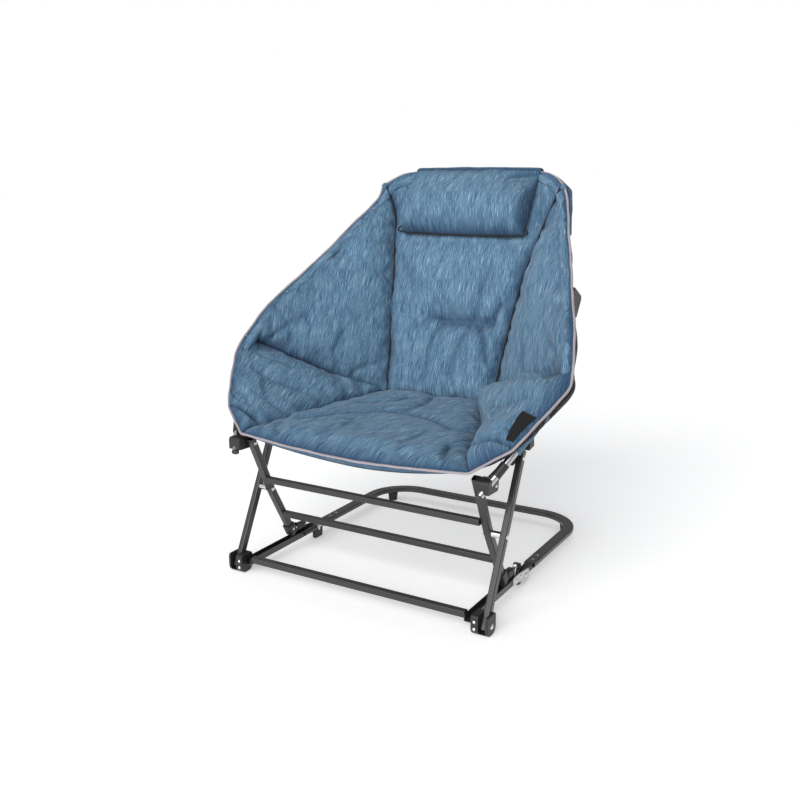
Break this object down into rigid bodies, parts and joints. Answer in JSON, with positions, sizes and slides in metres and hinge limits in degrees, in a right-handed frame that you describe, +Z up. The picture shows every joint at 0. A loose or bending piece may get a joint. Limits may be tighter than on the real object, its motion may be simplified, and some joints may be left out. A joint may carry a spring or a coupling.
{
  "type": "camp rocking chair",
  "caption": "Folding camp rocking chair: padded blue bucket slung in a tube hoop, on crossed legs in a front frame that rocks on a wide U-shaped floor loop.",
  "frame": {"origin": "on the floor, under the middle of the chair", "axes": "+Z up, +X to the right as seen from the front, the front of the chair faces -Y"},
  "size_m": [0.8658, 0.6996, 0.937],
  "materials": {
    "black_steel": "semi-gloss black powder coat",
    "loop_steel": "semi-gloss black powder coat, worn lighter on top",
    "hoop_tube": "smooth dark coated tube",
    "zinc_plate": "zinc-plated sheet",
    "bright_steel": "bright plated",
    "black_plastic": "moulded, satin",
    "foot_rubber": "matte",
    "blue_fabric": "heathered blue woven cloth with grey piping and black backing"
  },
  "bodies": {
    "front_frame": {"front_bar": "black_steel", "side_channel_left": "black_steel", "side_channel_right": "black_steel", "front_foot_left": "black_plastic", "front_foot_right": "black_plastic", "hinge_plates": "zinc_plate", "spring_barrels": "black_steel", "foot_bolts": "bright_steel", "foot_rivets": "bright_steel", "plate_rivets": "bright_steel", "rock_pins": "bright_steel"},
    "knuckles": {"pivot_knuckle_left": "black_plastic", "pivot_knuckle_right": "black_plastic"},
    "spring_rods": {"spring_rods": "bright_steel"},
    "floor_loop": {"floor_loop": "loop_steel", "loop_end_left": "black_plastic", "loop_end_right": "black_plastic", "loop_rivets": "bright_steel", "rear_feet": "foot_rubber"},
    "outer_legs": {"outer_leg_left": "black_steel", "outer_leg_right": "black_steel", "slider_bolts": "bright_steel", "leg_plugs": "black_plastic"},
    "inner_legs": {"inner_leg_left": "black_steel", "inner_leg_right": "black_steel", "leg_sockets": "black_plastic", "cross_bolts": "bright_steel", "cross_spacers": "bright_steel", "seat_bolts": "bright_steel", "socket_rivets": "bright_steel", "upper_crossbar": "black_steel", "lower_crossbar": "black_steel", "latch_lugs": "black_plastic"},
    "latch_left": {"latch_lever_left": "black_plastic"},
    "latch_right": {"latch_lever_right": "black_plastic"},
    "bucket": {"top_tube": "hoop_tube", "seat_tube_left": "hoop_tube", "seat_tube_right": "hoop_tube", "arm_elbows": "black_plastic", "back_tube_left": "hoop_tube", "back_tube_right": "hoop_tube", "corner_bracket_left": "black_plastic", "corner_bracket_right": "black_plastic", "tube_sleeves": "black_plastic", "seat_rail_left": "black_steel", "seat_rail_right": "black_steel", "strut_joints": "black_plastic", "back_strut_left": "black_steel", "back_strut_right": "black_steel", "hoop_brackets": "black_plastic", "tube_caps": "black_plastic", "bracket_rivets": "bright_steel", "seat_cushion": "blue_fabric", "back_cushion": "blue_fabric", "wing_cushion_left": "blue_fabric", "wing_cushion_right": "blue_fabric", "arm_cushion_left": "blue_fabric", "arm_cushion_right": "blue_fabric"},
    "rail_sliders": {"rail_sliders": "black_plastic"},
    "pillow": {"headrest_pillow": "blue_fabric"}
  },
  "joints": [
    {"name": "rock", "type": "hinge", "parent": "front_frame", "child": "knuckles", "pos_m": [0, -0.05615, 0.024], "axis": [1, 0, 0], "range_deg": [0, 12], "stiffness_Nm_per_rad": 250, "springref_deg": -4.58},
    {"name": "spring_travel", "type": "slide", "parent": "front_frame", "child": "spring_rods", "axis": [0, 1, 0], "range_m": [-0.0048, 0]},
    {"name": "loop_fold", "type": "hinge", "parent": "knuckles", "child": "floor_loop", "pos_m": [0, -0.05615, 0.024], "axis": [1, 0, 0], "range_deg": [0, 55]},
    {"name": "fold", "type": "hinge", "parent": "front_frame", "child": "outer_legs", "pos_m": [0, -0.32715, 0.02], "axis": [1, 0, 0], "range_deg": [0, 23.2]},
    {"name": "leg_cross", "type": "hinge", "parent": "outer_legs", "child": "inner_legs", "pos_m": [0, -0.24319, 0.1895], "axis": [1, 0, 0], "range_deg": [-40.1, 0]},
    {"name": "seat_fold", "type": "hinge", "parent": "inner_legs", "child": "bucket", "pos_m": [0, -0.30415, 0.32], "axis": [1, 0, 0], "range_deg": [0, 50.5]},
    {"name": "slider_travel", "type": "slide", "parent": "bucket", "child": "rail_sliders", "axis": [0, 0.9862, 0.1656], "range_m": [-0.0985, 0]},
    {"name": "latch_left_lift", "type": "hinge", "parent": "inner_legs", "child": "latch_left", "pos_m": [-0.293, -0.13065, 0.056], "axis": [1, 0, 0], "range_deg": [0, 35]},
    {"name": "latch_right_lift", "type": "hinge", "parent": "inner_legs", "child": "latch_right", "pos_m": [0.293, -0.13065, 0.056], "axis": [1, 0, 0], "range_deg": [0, 35]},
    {"name": "pillow_flip", "type": "hinge", "parent": "bucket", "child": "pillow", "pos_m": [0, 0.27685, 0.929], "axis": [-1, 0, 0], "range_deg": [0, 100]}
  ],
  "couplings": [
    {"joint": "leg_cross", "follows": "fold", "ratio": -1.7297},
    {"joint": "seat_fold", "follows": "fold", "ratio": 2.1778},
    {"joint": "slider_travel", "follows": "fold", "m_per_rad": -0.24176},
    {"joint": "spring_travel", "follows": "rock", "m_per_rad": -0.0215}
  ]
}
